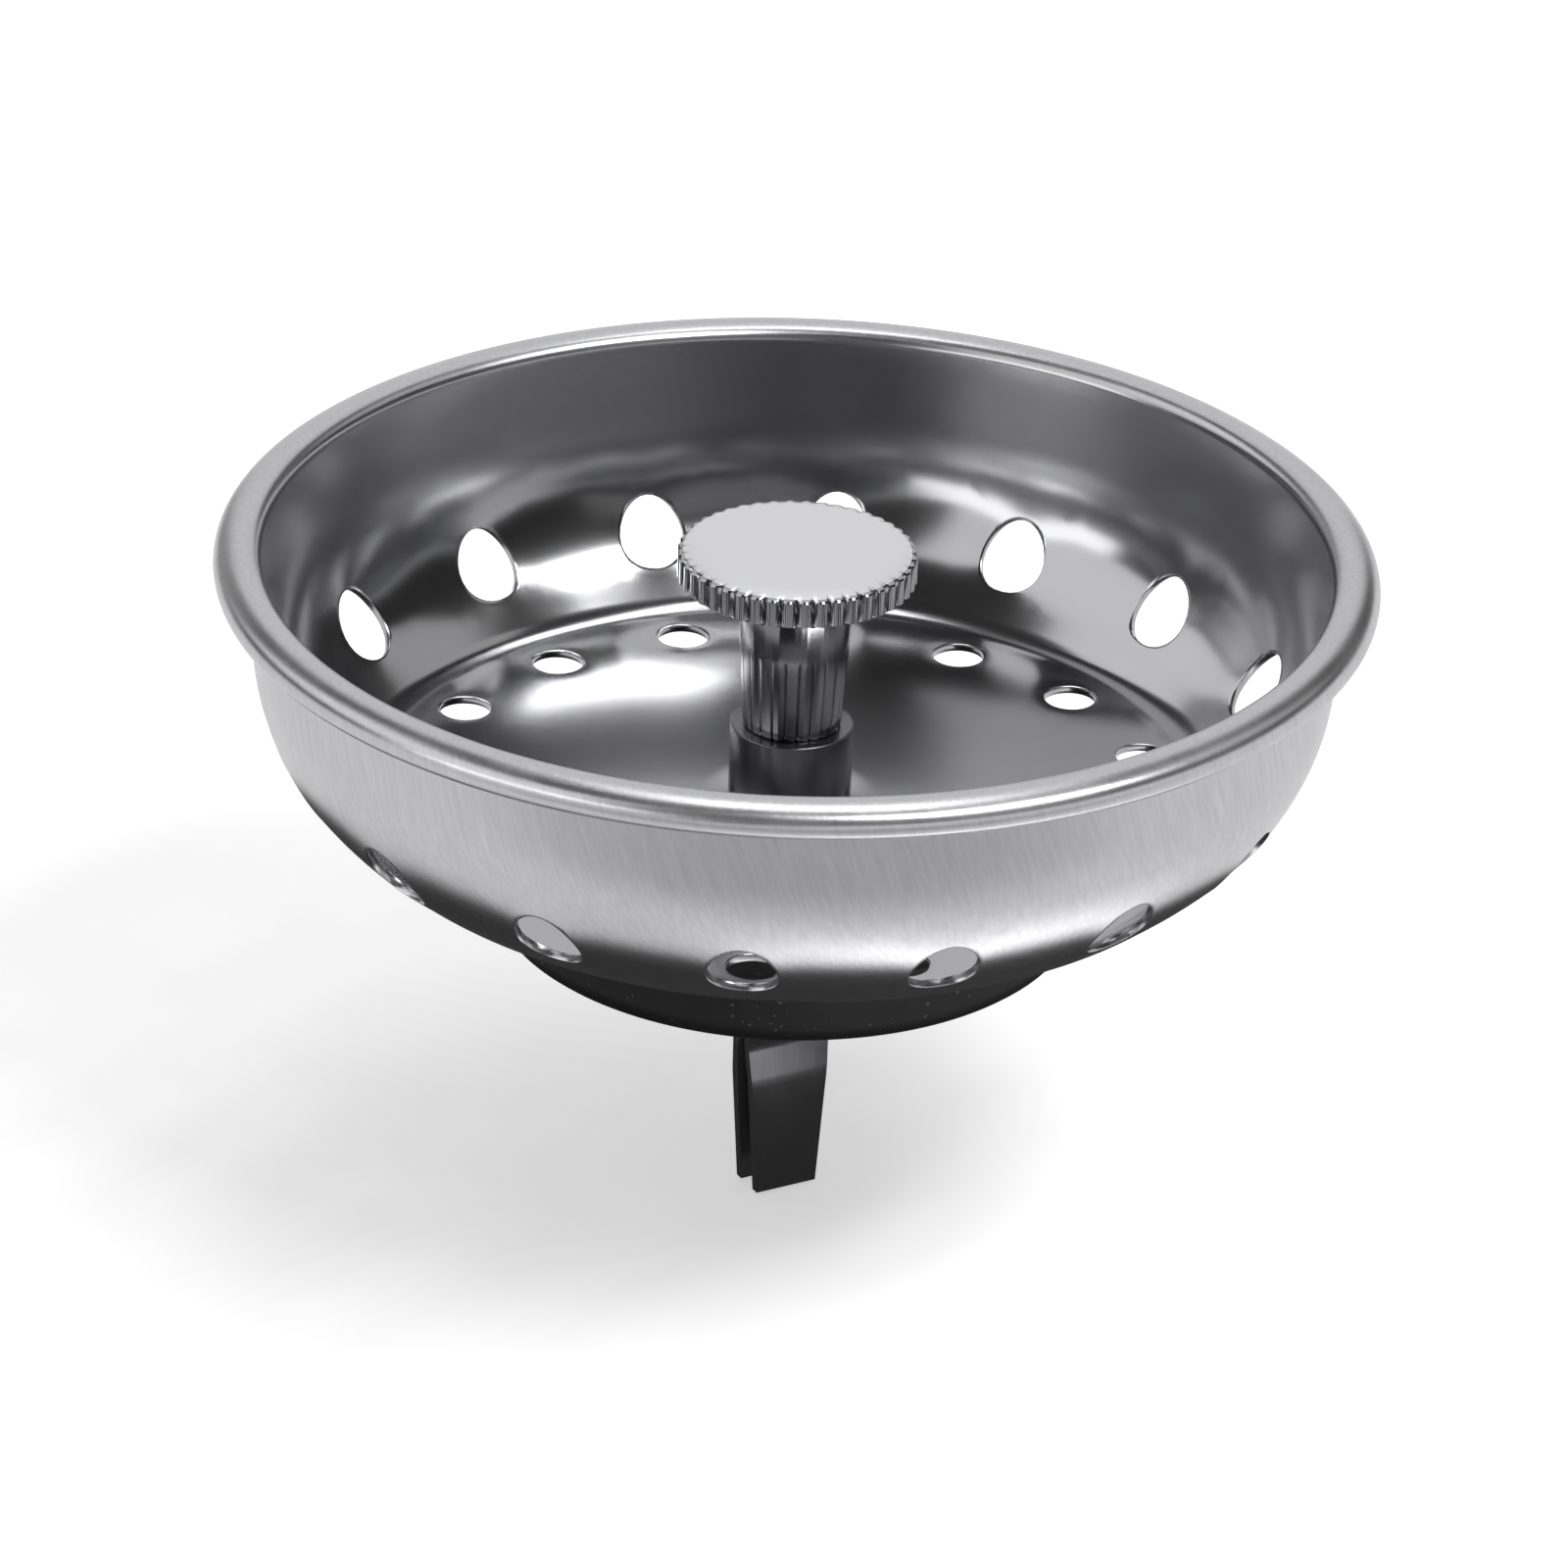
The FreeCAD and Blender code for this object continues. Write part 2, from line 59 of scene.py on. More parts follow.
# %% [markdown]
# ## Working by selection
# Modelling by hand is a rhythm of select, then act. In a script the selecting is done by place: a test is
# given the middle of each vertex, edge or face in millimetres, and the way that it points, and says which
# are wanted. These few helpers do that, so that each piece below reads as the list of operators that shape
# it.

# %% Helpers for selecting and finishing
def only(piece):
    """Leaves edit mode and selects this piece alone."""
    if bpy.context.object and bpy.context.object.mode != "OBJECT":
        bpy.ops.object.mode_set(mode="OBJECT")
    bpy.ops.object.select_all(action="DESELECT")
    piece.select_set(True)
    bpy.context.view_layer.objects.active = piece


def begin(name):
    """Names the primitive that was just added, moves its place into its mesh and opens it for editing."""
    piece = bpy.context.object
    piece.name = piece.data.name = name
    bpy.ops.object.transform_apply(location=True, rotation=True, scale=True)
    bpy.ops.object.mode_set(mode="EDIT")
    return piece


def pick(kind, wanted):
    """Selects each VERT, EDGE or FACE whose middle in mm and direction pass the test."""
    bpy.ops.mesh.select_mode(type=kind)
    bpy.ops.mesh.select_all(action="DESELECT")
    mesh = bmesh.from_edit_mesh(bpy.context.edit_object.data)
    for item in {"VERT": mesh.verts, "EDGE": mesh.edges, "FACE": mesh.faces}[kind]:
        corners = [item] if kind == "VERT" else item.verts
        middle = sum((v.co for v in corners), Vector()) / (len(corners) * MM)
        way = (item.verts[1].co - item.verts[0].co).normalized() if kind == "EDGE" else item.normal
        if wanted(middle, way):
            item.select_set(True)
    mesh.select_flush_mode()
    bmesh.update_edit_mesh(bpy.context.edit_object.data)


def modify(piece, kind, **settings):
    """Adds a modifier with these settings and applies it."""
    only(piece)
    modifier = piece.modifiers.new(kind.title(), kind)
    for name, value in settings.items():
        setattr(modifier, name, value)
    bpy.ops.object.modifier_apply(modifier=modifier.name)


def close_up(piece):
    """Merges doubled points and turns every face of a closed solid outwards."""
    only(piece)
    bpy.ops.object.mode_set(mode="EDIT")
    bpy.ops.mesh.select_all(action="SELECT")
    bpy.ops.mesh.remove_doubles(threshold=0.002 * MM)
    bpy.ops.mesh.normals_make_consistent(inside=False)
    bpy.ops.object.mode_set(mode="OBJECT")


def out(point):
    """Distance from the post's axis."""
    return math.hypot(point.x, point.y)


# %% [markdown]
# ## The camera
# The photograph looks down into the bowl from about 27 degrees above the rim, from the left of the clip's
# face, with a long lens. The place, the aim and the slight roll were fitted to the rim, the holes and the
# outline.

# %% Camera at the photograph's angle
camera_place = Vector((-308.904, -551.362, 328.562)) * MM
camera_aim = Vector((-0.35, 0.196, 10.095)) * MM
camera_roll = math.radians(1.995)
bpy.ops.object.camera_add(location=camera_place)
camera = bpy.context.object
camera.name = "camera"
camera.rotation_mode = "QUATERNION"
level_turn = (camera_aim - camera_place).to_track_quat("-Z", "Y")
camera.rotation_quaternion = level_turn @ Quaternion((0, 0, 1), camera_roll)
camera.data.sensor_width = 36
camera.data.lens = 227.35
camera.data.clip_start = 10 * MM
camera.data.clip_end = 20
bpy.context.scene.camera = camera
print("camera", round((camera_aim - camera_place).length / MM), "mm from its aim")

# %% [markdown]
# ## Colours and nodes
# A colour is picked as an sRGB hex value, as from a swatch, and the shader wants it linear. One function
# turns it, and another adds a node with its settings, values and links, so a material is a short list of
# nodes.

# %% Helpers for materials
def linear(swatch):
    """An sRGB hex value such as 8A8A8C as linear red, green, blue and alpha."""
    parts = [int(swatch[i:i + 2], 16) / 255 for i in (0, 2, 4)]
    return [p / 12.92 if p <= 0.04045 else ((p + 0.055) / 1.055) ** 2.4 for p in parts] + [1.0]


def add_node(tree, kind, inputs, **settings):
    """Adds a node. An input is a value, or the output of another node that is linked to it."""
    made = tree.nodes.new("ShaderNode" + kind)
    for name, value in settings.items():
        setattr(made, name, value)
    for socket, value in inputs.items():
        if isinstance(value, bpy.types.NodeSocket):
            tree.links.new(value, made.inputs[socket])
        else:
            made.inputs[socket].default_value = value
    return made


def new_finish(name):
    """An empty node material, with the piece's own coordinates in metres as its start."""
    finish = bpy.data.materials.new(name)
    finish.use_nodes = True
    tree = finish.node_tree
    tree.nodes.clear()
    place = add_node(tree, "TexCoord", {}).outputs["Object"]
    return finish, tree, place


def per_mm(size):
    """Noise scale for features of this many millimetres, since coordinates are in metres."""
    return 1 / (size * MM)


# %% [markdown]
# ## Drawn stainless sheet
# Deep drawing leaves stainless steel a neutral grey. Inside, the floor and the shoulder are polished to a
# soft mirror, and the wall, which slid through the die, stays satin, so that it shows only soft light and
# dark. The outside wall is brushed after drawing, in short strokes that lean a little, and smears what it
# mirrors. The brush does not reach the shoulder under the wall, so strokes and smear fade out there. The
# punched edges are sheared and a little dull. One function gives all three, because only the gloss below
# and above some height and the depth of the brushing differ. The strokes are noise stretched along the
# height, and twisted about the axis so that they lean. They are 0.35 mm wide: finer ones would not show
# here.

# %% Stainless finishes
def stainless(name, low, high, haze, rise, brush=0.0):
    """Drawn stainless: roughness below and above a rise from one height to another in mm, how much it
    varies in soft clouds, and the depth of the brush strokes."""
    finish, tree, place = new_finish(name)
    height = add_node(tree, "SeparateXYZ", {0: place}).outputs["Z"]
    reached = add_node(tree, "MapRange", {
        "Value": height, "From Min": rise[0] * MM, "From Max": rise[1] * MM},
        interpolation_type="SMOOTHSTEP").outputs["Result"]
    clouds = add_node(tree, "TexNoise", {"Vector": place, "Scale": per_mm(6.0), "Detail": 2.0}).outputs["Fac"]
    wall = add_node(tree, "MapRange", {
        "Value": clouds, "From Min": 0.3, "From Max": 0.7,
        "To Min": high - haze, "To Max": high + haze}).outputs["Result"]
    rough = add_node(tree, "MapRange", {"Value": reached, "To Min": low, "To Max": wall}).outputs["Result"]
    metal = add_node(tree, "BsdfPrincipled", {
        "Metallic": 1.0, "Roughness": rough, "Base Color": linear("B2B2B4")})
    add_node(tree, "OutputMaterial", {"Surface": metal.outputs[0]})
    if not brush:
        return finish
    depth = add_node(tree, "Math", {0: reached, 1: brush}, operation="MULTIPLY").outputs[0]
    round_axis = add_node(tree, "VectorMath", {0: (0, 0, 1), 1: place}, operation="CROSS_PRODUCT").outputs[0]
    lean = add_node(tree, "Math", {0: height, 1: 9.0}, operation="MULTIPLY").outputs[0]
    turned = add_node(tree, "VectorMath", {0: round_axis, "Scale": lean}, operation="SCALE").outputs[0]
    leaning = add_node(tree, "VectorMath", {0: place, 1: turned}, operation="ADD").outputs[0]
    strokes_at = add_node(tree, "Mapping", {"Vector": leaning, "Scale": (1, 1, 0.07)}).outputs[0]
    strokes = add_node(tree, "TexNoise", {
        "Vector": strokes_at, "Scale": per_mm(0.35), "Detail": 2.0, "Roughness": 0.6}).outputs["Fac"]
    shade = add_node(tree, "MixRGB", {"Fac": strokes, "Color1": linear("B4B4B6"), "Color2": linear("D0D0D2")})
    brushed = add_node(tree, "Bump", {"Height": strokes, "Strength": depth, "Distance": 0.03 * MM}).outputs[0]
    tree.links.new(shade.outputs[0], metal.inputs["Base Color"])
    tree.links.new(brushed, metal.inputs["Normal"])
    return finish


polished_stainless = stainless("polished_drawn_stainless", 0.16, 0.255, haze=0.012, rise=(17, 22))
brushed_stainless = stainless("brushed_drawn_stainless", 0.2, 0.315, haze=0.03, rise=(13, 18), brush=0.35)
sheared_stainless = stainless("sheared_stainless_edge", 0.24, 0.24, haze=0.03, rise=(13, 18))
print("finishes:", polished_stainless.name, brushed_stainless.name, sheared_stainless.name)

# %% [markdown]
# ## The blank of the bowl
# The bowl starts as a flat sheet, is punched, and is drawn over a die. It could be spun as a plain shell
# and cut by Booleans, but the cuts would leave long thin faces that spoil a mirror finish. So it is made as
# the factory makes it. A flat grid is one sixteenth of the blank, with its rows close where the sheet will
# bend. The faces of one floor hole and one shoulder hole are deleted, and the rings of points around them
# are rounded. The section of the bowl is a walk along the inside of the sheet: so far straight, then so far
# round a bend. It ends in a tight lip, a low crown and the curled bead of the rim, which stiffens the edge
# and hides its cut.

# %% Walk along the bowl's section
gauge = 0.6
screw_hole = 2.2
floor_top = 9.3
sectors = 16


def bend(radius, degrees):
    """A step of the walk round a bend: its length in mm and its turn in radians."""
    return radius * abs(math.radians(degrees)), math.radians(degrees)


walk = [
    (27.3897, 0),       # floor, out from the screw hole
    bend(3.0, 40),      # floor corner
    (1.6909, 0),        # lower shoulder
    bend(14.1, 50),     # rounded shoulder
    (5.78, 0),          # wall
    bend(1.0, -72),     # lip
    bend(2.634, -48),   # crown of the rim
    bend(1.15, -210),   # curled bead
]


def section(along):
    """Radius and height in mm, and heading, at this many mm along the inside of the sheet."""
    radius, height, heading = screw_hole, floor_top, 0.0
    for length, turn in walk:
        step = min(along, length)
        half = turn * step / length / 2
        chord = step * (math.sin(half) / half if half else 1)
        radius += chord * math.cos(heading + half)
        height += chord * math.sin(heading + half)
        heading += 2 * half
        along -= step
        if along <= 0:
            break
    return radius, height, heading


def marks(start, end, count):
    """Evenly spaced places after the start, up to the end."""
    return [start + (end - start) * i / count for i in range(1, count + 1)]


ends = [sum(length for length, turn in walk[:i + 1]) for i in range(len(walk))]
floor_hole_along = 24.45
shoulder_hole_along = 34.866
floor_patch = ends[0] - floor_hole_along
shoulder_patch = 5.2
rows = [0.0] + marks(0, floor_hole_along - floor_patch, 5)
rows += marks(floor_hole_along - floor_patch, ends[0], 16) + marks(ends[0], ends[1], 6)
rows += [shoulder_hole_along - shoulder_patch]
rows += marks(rows[-1], shoulder_hole_along + shoulder_patch, 16)
for step_end, count in zip(ends[3:], (4, 5, 9, 9, 20)):
    rows += marks(rows[-1], step_end, count)
columns = 24
print(len(rows), "rows to r", round(section(ends[-1])[0], 2), "z", round(section(ends[-1])[1], 2))

# %% [markdown]
# ## Punching and drawing
# Around each hole, ring 4 of the grid becomes the hole's edge and ring 8 stays where it was, and the rings
# between slide along the line from one to the other. The shoulder holes are egg-shaped, narrower towards
# the wall, and the punch drags the sheet outwards, so each sits in a shallow dimple with a short lip. That
# scallops the reflections.

# %% Punch one sixteenth of the blank
hole_ring, patch_ring = 4, 8
slide = {4: 0.0, 5: 0.1, 6: 0.26, 7: 0.55, 8: 1.0}
pitch = 2 * math.pi / sectors / columns
punches = [
    # middle along the section, half the patch, half width, half length, egg,
    # lip height and its reach, dimple depth and its reach
    (floor_hole_along, floor_patch, 1.85, 1.85, 0.0, 0.04, 0.45, 0.0, 1.0),
    (shoulder_hole_along, shoulder_patch, 2.4, 2.75, 0.13, 0.03, 0.55, 0.10, 3.4),
]
middle_rows = [min(range(len(rows)), key=lambda j: abs(rows[j] - punch[0])) for punch in punches]

bpy.ops.mesh.primitive_grid_add(x_subdivisions=columns, y_subdivisions=len(rows) - 1, size=1)
basket = begin("drawn_basket")
half_height = (len(rows) - 1) / 2


def in_grid(point):
    """Column from the middle of the sector, and row, of a point of the unit grid."""
    return point.x * columns, point.y * 2 * half_height + half_height


def in_a_hole(middle, way):
    """Whether a face of the grid lies inside the ring that becomes a hole's edge."""
    column, row = in_grid(middle * MM)
    return any(max(abs(column), abs(row - j)) < hole_ring for j in middle_rows)


pick("FACE", in_a_hole)
bpy.ops.mesh.delete(type="FACE")
bpy.ops.object.mode_set(mode="OBJECT")
print("holes around rows", middle_rows, "of", len(rows))

# %% [markdown]
# The die then takes each point of the flat grid to its place in the bowl. Points near a hole first slide to
# the hole's rounded rings, and the lip and the dimple push them outwards from the section.

# %% Draw the sector over the die
def drawn(point):
    """Where the die takes a point of the flat blank."""
    column, row = (round(value) for value in in_grid(point))
    angle, along = column * pitch, rows[row]
    outward = 0.0
    for (middle, patch, wide, long, egg, lip, lip_reach, dimple, reach), j in zip(punches, middle_rows):
        across = angle * section(along)[0]
        ring = max(abs(column), abs(row - j))
        if hole_ring <= ring <= patch_ring:
            direction = math.atan2(row - j, column)
            narrow = wide * (1 - egg * math.sin(direction))
            edge = Vector((narrow * math.cos(direction), long * math.sin(direction)))
            border_along = middle + patch * (row - j) / ring
            border_across = patch_ring * pitch * column / ring * section(border_along)[0]
            here = edge.lerp(Vector((border_across, border_along - middle)), slide[ring])
            along = middle + here.y
            across = here.x
            angle = across / section(along)[0]
        spot = Vector((across, along - middle))
        direction = math.atan2(spot.y / long, spot.x / wide)
        edge = Vector((wide * math.cos(direction), long * math.sin(direction)))
        from_edge = max(0.0, spot.length - edge.length)
        outward += lip * math.exp(-(from_edge / lip_reach) ** 2)
        outward += dimple * math.exp(-(spot.length / reach) ** 2)
    radius, height, heading = section(along)
    radius += outward * math.sin(heading)
    height -= outward * math.cos(heading)
    angle += math.pi / sectors
    return Vector((radius * math.cos(angle), radius * math.sin(angle), height)) * MM


for vertex in basket.data.vertices:
    vertex.co = drawn(vertex.co)
print("one sector has", len(basket.data.polygons), "faces")

# %% [markdown]
# The drawn sector is spun round the axis as 15 copies, and the seams between them are merged. A grid turned
# into a bowl this way faces outwards, so Solidify pushes it out by the sheet's gauge, and gives the second
# material to the inside that it leaves behind and the third to the edges between. A small bevel then breaks
# the cut edges of the holes and of the curl, which would catch no light if left sharp. The rim is the
# inside of the sheet turned over, but it is brushed with the wall, so its faces take that finish.

# %% Complete the bowl and give it thickness
only(basket)
bpy.ops.object.mode_set(mode="EDIT")
bpy.ops.mesh.select_all(action="SELECT")
copies = sectors - 1
bpy.ops.mesh.spin(
    steps=copies, angle=2 * math.pi * copies / sectors, center=(0, 0, 0), axis=(0, 0, 1), dupli=True)
bpy.ops.mesh.select_all(action="SELECT")
bpy.ops.mesh.remove_doubles(threshold=0.005 * MM)
bpy.ops.object.mode_set(mode="OBJECT")
for finish in (brushed_stainless, polished_stainless, sheared_stainless):
    basket.data.materials.append(finish)
floor_face = min(basket.data.polygons, key=lambda face: face.center.length)
print("blank faces", "down" if floor_face.normal.z < 0 else "up", "with", len(basket.data.vertices), "points")
modify(basket, "SOLIDIFY", thickness=gauge * MM, offset=1.0, use_even_offset=True,
       material_offset=1, material_offset_rim=2)
modify(basket, "BEVEL", width=0.12 * MM, segments=2, limit_method="ANGLE", angle_limit=math.radians(60))
lip_radius = section(ends[4])[0]
for face in basket.data.polygons:
    if face.material_index == 1 and out(face.center) > (lip_radius + 0.2) * MM:
        face.material_index = 0
print("bowl has", len(basket.data.polygons), "faces")

# %% [markdown]
# Every finished piece is fitted to the frame in the same way: it is shaded smooth up to a crease, rides on
# the body that carries it, and replaces its CAD node. The printed line compares the two boxes, so a piece
# that was made in the wrong place shows at once.

# %% Fit a piece to its place in the frame
def fit(piece, node, body, crease=32):
    """Shades the piece, rides it on its body in place of its CAD node, and compares the two boxes."""
    only(piece)
    bpy.ops.object.shade_smooth_by_angle(angle=math.radians(crease))
    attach(piece, body)
    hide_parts(node)
    low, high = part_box(node)
    points = [v.co for v in piece.data.vertices]
    gap = [round((end(p[i] for p in points) - corner[i]) / MM, 2)
           for end, corner in ((min, low), (max, high)) for i in range(3)]
    triangles = sum(len(face.vertices) - 2 for face in piece.data.polygons)
    print(f"{piece.name}: {triangles} triangles, {gap} mm from its node's box")


fit(basket, "basket_shell", "strainer")

# %% [markdown]
# ## Chrome plate
# The knob and the sleeve are plated with chrome. One plate is given three colours here, as painted light and
# shade. The knob's faced top is satin, and its colour is painted pale as painted light. Its teeth and neck
# are rubbed bright and mirror the dark bowl, and their colour is painted darker as painted shade. The sleeve,
# low under the knob, is satin, and its colour is painted darkest as painted shade. The top was faced on a
# lathe, which leaves fine rings about the axis, so a ring wave drives a very slight bump. The rings are about
# 1.6 mm apart, far coarser than a real tool mark, because a finer one would not show at this size.

# %% Chrome finish
ring_gap = 1.5708
wave_turns = 20 / (2 * math.pi)     # rings of the wave texture in one unit, at scale 1


def chrome(name, swatch, gloss, haze, rings):
    """Chrome plate: its shade, its roughness, how much that varies, and the depth of the lathe's rings."""
    finish, tree, place = new_finish(name)
    turning = add_node(tree, "TexWave", {
        "Vector": place, "Scale": per_mm(ring_gap) / wave_turns,
        "Distortion": 0.6, "Detail": 1.0, "Detail Scale": 2.0},
        wave_type="RINGS", rings_direction="Z").outputs["Fac"]
    clouds = add_node(tree, "TexNoise", {"Vector": place, "Scale": per_mm(1.5), "Detail": 4.0}).outputs["Fac"]
    speck = add_node(tree, "TexNoise", {"Vector": place, "Scale": per_mm(0.12), "Detail": 1.0}).outputs["Fac"]
    rough = add_node(tree, "MapRange", {
        "Value": clouds, "From Min": 0.3, "From Max": 0.7,
        "To Min": gloss - haze, "To Max": gloss + haze}).outputs["Result"]
    faced = add_node(tree, "Bump", {"Height": turning, "Strength": rings, "Distance": 0.01 * MM}).outputs[0]
    pitted = add_node(tree, "Bump", {
        "Height": speck, "Strength": 0.08, "Distance": 0.02 * MM, "Normal": faced}).outputs[0]
    metal = add_node(tree, "BsdfPrincipled", {
        "Base Color": linear(swatch), "Metallic": 1.0, "Roughness": rough, "Normal": pitted})
    add_node(tree, "OutputMaterial", {"Surface": metal.outputs[0]})
    return finish


# Pale for the top, darker for the teeth and neck, darkest for the sleeve: painted light and painted shade in
# the colours of one chrome plate.
faced_chrome_painted_light = chrome("satin_chrome_plate_painted_light", "E0E0E2", gloss=0.24, haze=0.03, rings=0.2)
bright_chrome_painted_shade = chrome("bright_chrome_plate_painted_shade", "A8A8AA", gloss=0.11, haze=0.03, rings=0.03)
sleeve_chrome_painted_shade = chrome("sleeve_chrome_plate_painted_shade", "6E6E70", gloss=0.25, haze=0.02, rings=0.1)
print("finishes:", faced_chrome_painted_light.name, bright_chrome_painted_shade.name, sleeve_chrome_painted_shade.name)

# %% [markdown]
# ## The knob
# The knob is one casting: a disc with 44 knurled teeth that fingers grip, on a neck that tapers down to the
# sleeve. The neck is smooth under the disc, and 24 reeds deepen towards its foot. A knurl could be 44
# Boolean cuts, but a circle with eight points to a tooth is simpler: the points are scaled in, step by step
# from the middle of each tooth, until the tooth is a round peg, and the outline is then extruded as a face.
# The neck is made in the same way with its own count, and the two are joined by a Boolean.

# %% Toothed outline, used for the knurl and for the neck
tooth_points = 8
gap_step = tooth_points // 2


def steps_off(point, count):
    """How many points away from the middle of its tooth this point of the outline is."""
    turn = math.atan2(point.y, point.x) / (2 * math.pi) * count * tooth_points
    place = round(turn) % tooth_points
    return min(place, tooth_points - place)


def toothed_face(name, count, radius, tooth, depth, height):
    """A filled circle whose rim has this many teeth, rounded to a radius, with gaps of this depth."""
    points = count * tooth_points
    bpy.ops.mesh.primitive_circle_add(
        vertices=points, radius=radius * MM, fill_type="NGON", location=(0, 0, height * MM))
    piece = begin(name)
    spacing = 2 * math.pi * radius / points
    for step in range(1, gap_step + 1):
        drop = min(depth, tooth - math.sqrt(max(0.0, tooth ** 2 - (step * spacing) ** 2)))
        pick("VERT", lambda middle, way: steps_off(middle, count) == step)
        scale = 1 - drop / radius
        bpy.ops.transform.resize(value=(scale, scale, 1), center_override=(0, 0, 0))
    return piece


def raise_face(height, scale=1.0):
    """Extrudes the selected face by a height in mm and scales its outline."""
    bpy.ops.mesh.extrude_region_move(TRANSFORM_OT_translate={"value": (0, 0, height * MM)})
    bpy.ops.transform.resize(value=(scale, scale, 1), center_override=(0, 0, 0))


def round_off(radius):
    """Brings the selected points of a toothed outline back to a plain circle."""
    mesh = bmesh.from_edit_mesh(bpy.context.edit_object.data)
    for vertex in mesh.verts:
        if vertex.select:
            vertex.co.xy = vertex.co.xy.normalized() * radius * MM
    bmesh.update_edit_mesh(bpy.context.edit_object.data)


# %% Knurled disc, whose top falls away towards the teeth
disc_radius, disc_low, disc_high = 8.5, 26.35, 28.85
teeth, lower_edge, dome = 44, 0.25, 0.42
knob = toothed_face("knurled_knob", teeth, disc_radius, 0.62, 0.35, disc_low)
pick("FACE", lambda middle, way: True)
raise_face(lower_edge)
raise_face(disc_high - disc_low - lower_edge - dome)
raise_face(0.12, 0.988)
for rise, ring in ((0.06, 8.1), (0.14, 7.4), (0.07, 6.8), (0.03, 6.2), (0.0, 3.0)):
    raise_face(rise)
    round_off(ring)
pick("VERT", lambda middle, way: middle.z < disc_low + 0.01)
round_off(8.0)
close_up(knob)
print("knurled disc has", len(knob.data.polygons), "faces")

# %% [markdown]
# The neck is extruded downwards from inside the disc, so that the Boolean has metal to join. Its outline
# starts wide for a small fillet, and the gaps between the reeds are pinched in at the foot alone, which
# deepens them evenly from the smooth upper part.

# %% Reeded neck, with a bore for the screw
neck_top_radius, neck_low_radius, reeds, thread_bore = 4.2, 3.55, 24, 2.05
sunk, flare, smooth_taper, reed_pinch = 0.3, 1.09, 0.933, 0.945
neck = toothed_face("neck", reeds, neck_top_radius, 1.5, 0.02, disc_low + sunk)
pick("FACE", lambda middle, way: True)
bpy.ops.transform.resize(value=(flare, flare, 1), center_override=(0, 0, 0))
raise_face(-sunk)
raise_face(-0.12, 0.955)            # fillet under the disc
raise_face(-0.25, 0.961)
raise_face(-4.5, smooth_taper)      # smooth upper part
raise_face(-5.95, neck_low_radius / neck_top_radius / smooth_taper)
raise_face(-0.28, 0.985)            # rounded foot
raise_face(-0.15, 0.95)
raise_face(0.0, 0.7)
round_off(thread_bore)
raise_face(8.0)                     # bore, back up into the neck
pick("VERT", lambda middle, way: steps_off(middle, reeds) == gap_step and middle.z < 16 and out(middle) > 3)
bpy.ops.transform.resize(value=(reed_pinch, reed_pinch, 1), center_override=(0, 0, 0))
close_up(neck)
modify(knob, "BOOLEAN", object=neck, operation="UNION", solver="EXACT")
bpy.data.objects.remove(neck)
close_up(knob)
knob.data.materials.clear()
knob.data.materials.append(faced_chrome_painted_light)
knob.data.materials.append(bright_chrome_painted_shade)
# Faces above this height take the pale chrome with painted light, and those below take the darker chrome with
# painted shade.
satin_from = disc_high - 0.22
for face in knob.data.polygons:
    face.material_index = 0 if face.center.z > satin_from * MM else 1
fit(knob, "knob", "strainer")

# %% [markdown]
# ## Sleeve and washer
# A plain tube stands on the bowl's floor under the knob, and a washer sits between the stopper and the
# clip. Both are turned rings: a cylinder whose two ends are inset to the bore, joined through by a bridge,
# and rounded at the rim.

# %% Turned rings
def turned_ring(name, radius, bore, low, high, rounding, finish):
    """A ring of this radius and bore between two heights, with its outer edges rounded, all in mm."""
    bpy.ops.mesh.primitive_cylinder_add(
        vertices=96, radius=radius * MM, depth=(high - low) * MM, location=(0, 0, (low + high) / 2 * MM))
    piece = begin(name)
    pick("FACE", lambda middle, way: abs(way.z) > 0.9)
    bpy.ops.mesh.inset(thickness=(radius - bore) * MM, use_individual=True)
    bpy.ops.mesh.bridge_edge_loops()
    pick("EDGE", lambda middle, way: abs(way.z) < 0.1 and out(middle) > 0.97 * radius)
    bpy.ops.mesh.bevel(offset=rounding * MM, segments=4, affect="EDGES")
    close_up(piece)
    piece.data.materials.append(finish)
    return piece


# The sleeve takes the darkest chrome, its colour painted dark as painted shade.
sleeve = turned_ring("post_sleeve_tube", 4.4, 2.2, 9.3, 15.1, 0.12, sleeve_chrome_painted_shade)
fit(sleeve, "post_sleeve", "strainer")

# %% [markdown]
# ## Zinc plate
# The washer and the clamping screw are steel with a thin zinc plate, dull and faintly cloudy. It hides
# little of the turning under it, so noise of about a millimetre varies its gloss.

# %% Zinc finish and washer
zinc, zinc_tree, zinc_place = new_finish("dull_zinc_plate")
cloud = add_node(zinc_tree, "TexNoise", {
    "Vector": zinc_place, "Scale": per_mm(1.2), "Detail": 5.0, "Roughness": 0.6}).outputs["Fac"]
cloud_rough = add_node(zinc_tree, "MapRange", {
    "Value": cloud, "From Min": 0.3, "From Max": 0.7, "To Min": 0.32, "To Max": 0.5}).outputs["Result"]
cloud_shade = add_node(zinc_tree, "MixRGB", {
    "Fac": cloud, "Color1": linear("9A9C9E"), "Color2": linear("B9BBBD")}).outputs[0]
cloud_bump = add_node(zinc_tree, "Bump", {"Height": cloud, "Strength": 0.1, "Distance": 0.03 * MM}).outputs[0]
zinc_metal = add_node(zinc_tree, "BsdfPrincipled", {
    "Base Color": cloud_shade, "Metallic": 1.0, "Roughness": cloud_rough, "Normal": cloud_bump})
add_node(zinc_tree, "OutputMaterial", {"Surface": zinc_metal.outputs[0]})
print("finish:", zinc.name)

washer = turned_ring("backing_washer_ring", 8.7, 2.2, 3.2, 4.2, 0.2, zinc)
fit(washer, "backing_washer", "strainer")

# %% [markdown]
# A hex screw is turned from hexagon bar, and that is how it is made here: a turned blank with the head's
# chamfer, the shank and its pointed tip is intersected with a six-sided bar, which leaves the curved
# chamfer on each flat.

